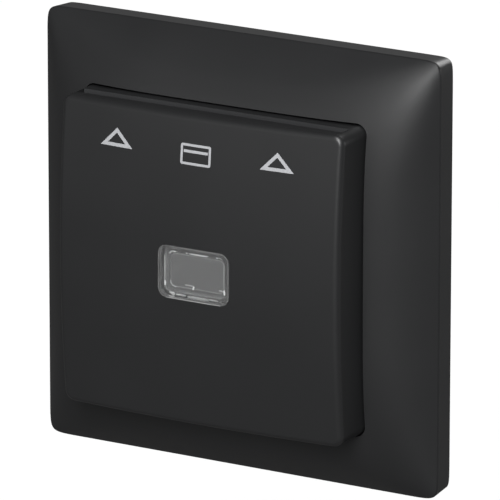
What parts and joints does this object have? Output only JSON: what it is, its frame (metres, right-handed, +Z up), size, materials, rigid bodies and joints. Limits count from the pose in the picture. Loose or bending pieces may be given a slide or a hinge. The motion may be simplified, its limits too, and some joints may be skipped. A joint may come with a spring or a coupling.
{
  "type": "hotel key card switch",
  "caption": "Flush wall switch worked by a key card pushed into the slot on top of its domed cover, in a pillow-shaped square frame with a signal lens.",
  "frame": {"origin": "centre of the box screw pattern on the support ring's back face, which lies on the wall", "axes": "+X to the right as seen by the user, +Y into the wall, +Z up; the front faces -Y"},
  "size_m": [0.0814, 0.0453, 0.0814],
  "materials": {
    "cover_plastic": "fine satin moulded thermoplastic, black",
    "frame_plastic": "fine satin moulded thermoplastic, black",
    "inner_plastic": "plain moulded plastic, black",
    "clear_lens": "clear polished plastic",
    "diffuser_plastic": "milky translucent plastic",
    "ring_steel": "zinc-plated pressed steel",
    "base_plastic": "light grey thermoset",
    "lid_plastic": "white thermoset",
    "lever_plastic": "white acetal",
    "pin_steel": "drawn steel",
    "plunger_plastic": "white acetal",
    "spring_steel": "spring steel",
    "contact_brass": "stamped bronze",
    "contact_silver": "silver contact rivet",
    "terminal_brass": "stamped brass",
    "release_plastic": "grey moulded plastic",
    "lamp_glass": "diffused lamp body",
    "screw_steel": "zinc-plated steel",
    "claw_steel": "zinc-plated pressed steel"
  },
  "bodies": {
    "switch": {"card_cover": "cover_plastic", "cover_frame": "frame_plastic", "pocket_back": "inner_plastic", "lens": "clear_lens", "lens_plate": "diffuser_plastic", "diffuser": "diffuser_plastic", "support_ring": "ring_steel", "switch_base": "base_plastic", "base_lid": "lid_plastic", "lever_pin": "pin_steel", "plunger_spring": "spring_steel", "contact_spring": "spring_steel", "fixed_contact": "contact_silver", "terminal_live": "terminal_brass", "terminal_load": "terminal_brass", "arm_pin": "pin_steel", "wire_clamps": "spring_steel", "lamp": "lamp_glass", "lamp_foot": "lid_plastic", "lamp_pins": "terminal_brass"},
    "card_lever": {"card_lever": "lever_plastic"},
    "plunger": {"plunger": "plunger_plastic"},
    "contact_arm": {"contact_arm": "contact_brass", "moving_contact": "contact_silver"},
    "claw_screw_left": {"claw_screw_left": "screw_steel"},
    "claw_screw_right": {"claw_screw_right": "screw_steel"},
    "claw_left": {"claw_left": "claw_steel"},
    "claw_right": {"claw_right": "claw_steel"},
    "release_lever_left": {"release_lever_left": "release_plastic"},
    "release_lever_right": {"release_lever_right": "release_plastic"}
  },
  "joints": [
    {"name": "card_lever_tilt", "type": "hinge", "parent": "switch", "child": "card_lever", "pos_m": [0, -0.0094, -0.009], "axis": [1, 0, 0], "range_deg": [0, 17.5], "stiffness_Nm_per_rad": 0.03, "springref_deg": -8.59},
    {"name": "plunger_slide", "type": "slide", "parent": "switch", "child": "plunger", "axis": [0, 1, 0], "range_m": [0, 0.00153], "deforming": ["plunger_spring"]},
    {"name": "contact_arm_tilt", "type": "hinge", "parent": "switch", "child": "contact_arm", "pos_m": [0, 0.01317, 0.003], "axis": [1, 0, 0], "range_deg": [0, 5.16], "deforming": ["contact_spring"]},
    {"name": "claw_screw_left_swing", "type": "hinge", "parent": "switch", "child": "claw_screw_left", "pos_m": [-0.0235, -0.00345, 0], "axis": [0, 0, 1], "range_deg": [0, 10]},
    {"name": "claw_left_pull", "type": "slide", "parent": "claw_screw_left", "child": "claw_left", "axis": [0, -1, 0], "range_m": [0, 0.005]},
    {"name": "claw_screw_right_swing", "type": "hinge", "parent": "switch", "child": "claw_screw_right", "pos_m": [0.0235, -0.00345, 0], "axis": [0, 0, -1], "range_deg": [0, 10]},
    {"name": "claw_right_pull", "type": "slide", "parent": "claw_screw_right", "child": "claw_right", "axis": [0, -1, 0], "range_m": [0, 0.005]},
    {"name": "release_lever_left_press", "type": "slide", "parent": "switch", "child": "release_lever_left", "axis": [0, -1, 0], "range_m": [0, 0.0012], "stiffness_N_per_m": 1500, "springref_m": -0.001},
    {"name": "release_lever_right_press", "type": "slide", "parent": "switch", "child": "release_lever_right", "axis": [0, -1, 0], "range_m": [0, 0.0012], "stiffness_N_per_m": 1500, "springref_m": -0.001}
  ],
  "couplings": [
    {"joint": "plunger_slide", "follows": "card_lever_tilt", "m_per_rad": 0.005},
    {"joint": "contact_arm_tilt", "follows": "card_lever_tilt", "ratio": 0.29412},
    {"joint": "claw_left_pull", "follows": "claw_screw_left_swing", "m_per_rad": 0.028591},
    {"joint": "claw_right_pull", "follows": "claw_screw_right_swing", "m_per_rad": 0.028591}
  ]
}
